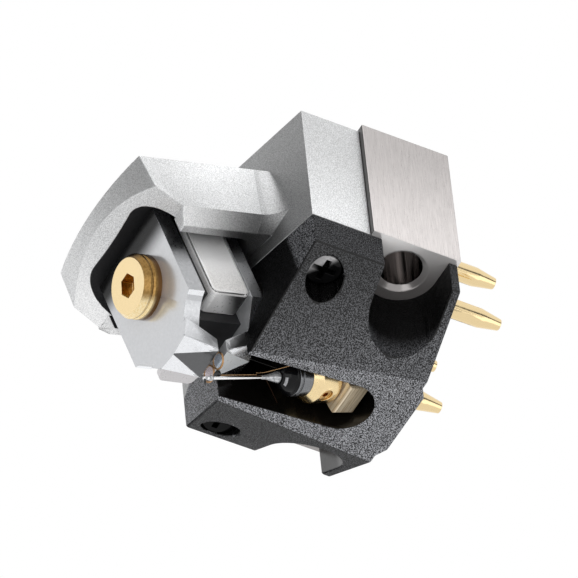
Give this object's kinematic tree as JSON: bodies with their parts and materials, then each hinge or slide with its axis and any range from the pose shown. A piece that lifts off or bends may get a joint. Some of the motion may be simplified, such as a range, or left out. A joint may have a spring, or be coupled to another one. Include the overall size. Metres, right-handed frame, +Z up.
{
  "type": "turntable stylus cartridge",
  "caption": "Moving-coil turntable cartridge with a hooded generator, exposed coils and cantilever, a titanium mounting block and terminal pins at the rear.",
  "frame": {"origin": "midway between the two mounting holes, on the flat top face", "axes": "+Z up out of the top mounting face, +Y to the rear along the terminal pins, +X to one side; the stylus points along -Z"},
  "size_m": [0.017, 0.0255, 0.0181],
  "materials": {
    "titanium": "brushed, satin",
    "housing_aluminium": "bead blasted, satin",
    "black_resin": "fine speckled grain, satin",
    "black_screw": "gloss black",
    "gold_plate": "polished gold plate",
    "gold_brushed": "brushed gold plate",
    "yoke_iron": "smooth nickel plate",
    "magnet_nickel": "bright nickel plate",
    "black_spacer": "matt black",
    "coil_copper": "enamelled copper wire",
    "coil_film": "clear film",
    "carrier_black": "gloss black",
    "rod_silver": "drawn, bright",
    "stylus_diamond": "polished",
    "pale_resin": "pale, satin",
    "damper_rubber": "glossy",
    "washer_steel": "turned, satin",
    "wire_steel": "drawn"
  },
  "bodies": {
    "cartridge_body": {"mount_block": "titanium", "front_housing": "housing_aluminium", "lower_housing": "black_resin", "housing_screw_right": "black_screw", "housing_screw_left": "black_screw", "front_yoke": "yoke_iron", "rear_yoke": "yoke_iron", "magnet_right": "magnet_nickel", "magnet_left": "magnet_nickel", "magnet_spacer": "black_spacer", "yoke_screw": "gold_plate", "lead_tail_right": "coil_copper", "lead_tail_left": "coil_copper", "damper": "damper_rubber", "damper_washer": "washer_steel", "suspension_wire": "wire_steel", "suspension_barrel": "gold_plate", "barrel_set_screw": "black_screw", "suspension_block": "gold_brushed", "terminal_plate": "black_spacer", "terminal_pin_1": "gold_plate", "terminal_pin_2": "gold_plate", "terminal_pin_3": "gold_plate", "terminal_pin_4": "gold_plate"},
    "flexing_joint": {"joint_pipe": "wire_steel"},
    "moving_system": {"cantilever": "rod_silver", "stylus": "stylus_diamond", "joint_sleeve": "pale_resin", "coil_carrier": "carrier_black", "coil_right": "coil_copper", "coil_left": "coil_copper", "coil_former_right": "coil_film", "coil_former_left": "coil_film", "coil_lead_right": "coil_copper", "coil_lead_left": "coil_copper"}
  },
  "joints": [
    {"name": "stylus_vertical", "type": "hinge", "parent": "cartridge_body", "child": "flexing_joint", "pos_m": [0, -0.00487, -0.01483], "axis": [1, 0, 0], "range_deg": [-1.5, 1.5], "stiffness_Nm_per_rad": 0.004},
    {"name": "stylus_lateral", "type": "hinge", "parent": "flexing_joint", "child": "moving_system", "pos_m": [0, -0.00487, -0.01483], "axis": [0, -0.4321, 0.9018], "range_deg": [-1.5, 1.5], "stiffness_Nm_per_rad": 0.004}
  ]
}
